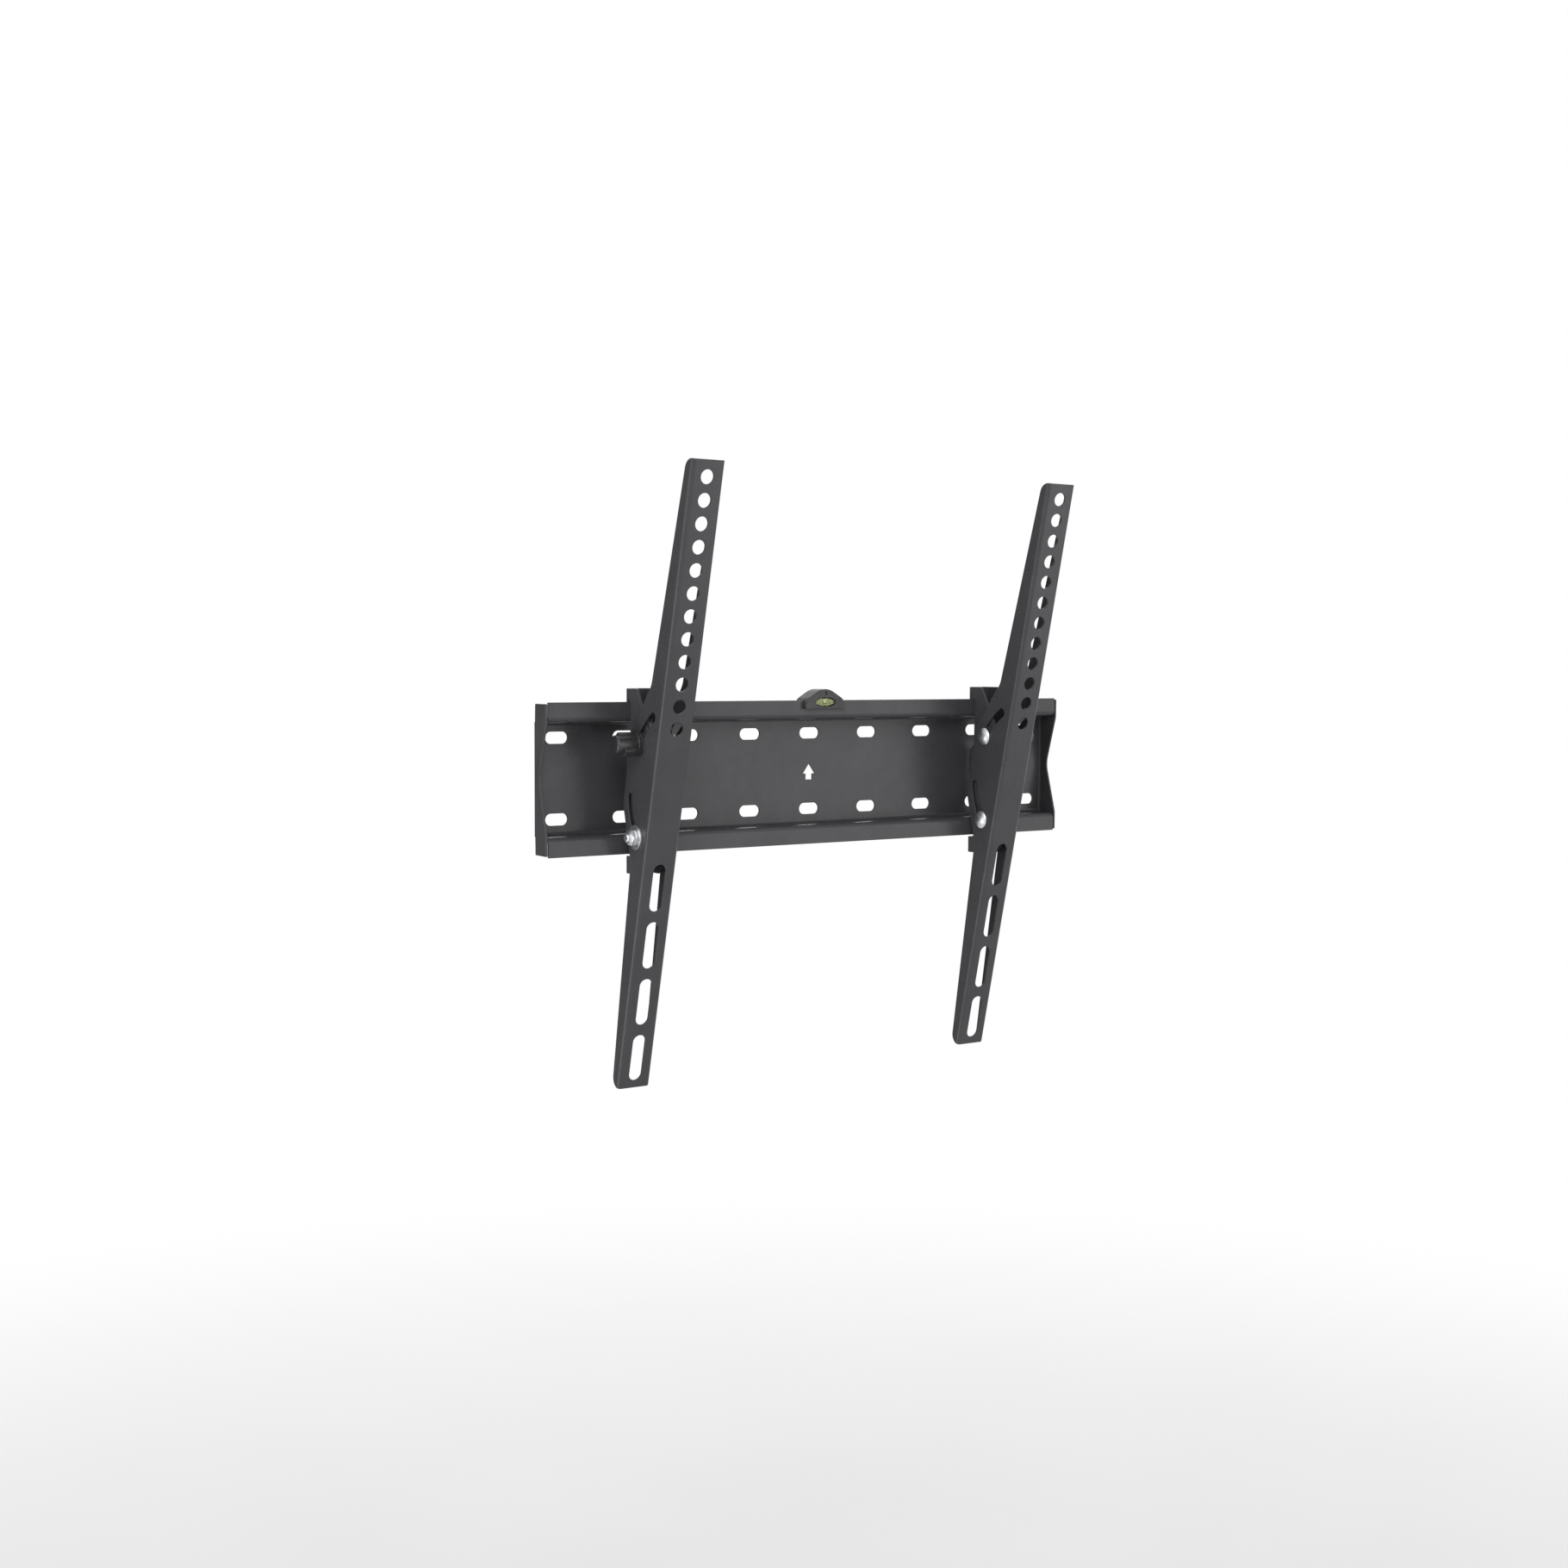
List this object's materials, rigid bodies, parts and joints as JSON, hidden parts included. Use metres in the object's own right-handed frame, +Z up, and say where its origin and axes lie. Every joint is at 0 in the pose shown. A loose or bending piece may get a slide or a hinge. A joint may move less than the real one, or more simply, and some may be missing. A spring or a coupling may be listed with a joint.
{
  "type": "tilting tv wall bracket",
  "caption": "Tilting wall bracket for a flat screen: slotted wall plate with rails, hook brackets and arms that tilt on arc slots, with clamp knobs and a bubble level.",
  "frame": {"origin": "middle of the wall plate's back face, on the wall", "axes": "+X along the wall plate, +Y into the wall, +Z up"},
  "size_m": [0.44, 0.1035, 0.4184],
  "materials": {
    "coated_steel": "satin black powder coat",
    "level_plastic": "spark-textured black",
    "clear_vial": "clear moulded",
    "level_fluid": "tinted liquid",
    "zinc_steel": "bright zinc plate",
    "washer_plastic": "plain black",
    "knob_plastic": "moulded black",
    "insert_brass": "turned"
  },
  "bodies": {
    "wall": {"wall_plate": "coated_steel", "level_body": "level_plastic", "level_vial": "clear_vial", "level_fluid": "level_fluid"},
    "left_carriage": {"left_hook_bracket": "coated_steel", "left_tilt_bolt": "zinc_steel", "left_guide_bolt": "zinc_steel", "left_guide_washer": "zinc_steel", "left_guide_nut": "zinc_steel", "left_friction_washers": "washer_plastic", "left_knob_washer": "zinc_steel"},
    "left_tilt_arm": {"left_arm": "coated_steel", "left_arm_sides": "coated_steel"},
    "left_tilt_knob": {"left_knob": "knob_plastic", "left_knob_insert": "insert_brass"},
    "right_carriage": {"right_hook_bracket": "coated_steel", "right_tilt_bolt": "zinc_steel", "right_guide_bolt": "zinc_steel", "right_guide_washer": "zinc_steel", "right_guide_nut": "zinc_steel", "right_friction_washers": "washer_plastic", "right_knob_washer": "zinc_steel"},
    "right_tilt_arm": {"right_arm": "coated_steel", "right_arm_sides": "coated_steel"},
    "right_tilt_knob": {"right_knob": "knob_plastic", "right_knob_insert": "insert_brass"}
  },
  "joints": [
    {"name": "left_slide", "type": "slide", "parent": "wall", "child": "left_carriage", "axis": [1, 0, 0], "range_m": [-0.061, 0.112]},
    {"name": "left_tilt", "type": "hinge", "parent": "left_carriage", "child": "left_tilt_arm", "pos_m": [-0.1475, -0.08271, -0.0075], "axis": [1, 0, 0], "range_deg": [-26, 0]},
    {"name": "left_knob_turn", "type": "hinge", "parent": "left_carriage", "child": "left_tilt_knob", "pos_m": [-0.1615, -0.0348, 0.02338], "axis": [-1, 0, 0], "continuous": true},
    {"name": "right_slide", "type": "slide", "parent": "wall", "child": "right_carriage", "axis": [1, 0, 0], "range_m": [-0.112, 0.061]},
    {"name": "right_tilt", "type": "hinge", "parent": "right_carriage", "child": "right_tilt_arm", "pos_m": [0.1475, -0.08271, -0.0075], "axis": [1, 0, 0], "range_deg": [-26, 0]},
    {"name": "right_knob_turn", "type": "hinge", "parent": "right_carriage", "child": "right_tilt_knob", "pos_m": [0.1615, -0.0348, 0.02338], "axis": [1, 0, 0], "continuous": true}
  ]
}
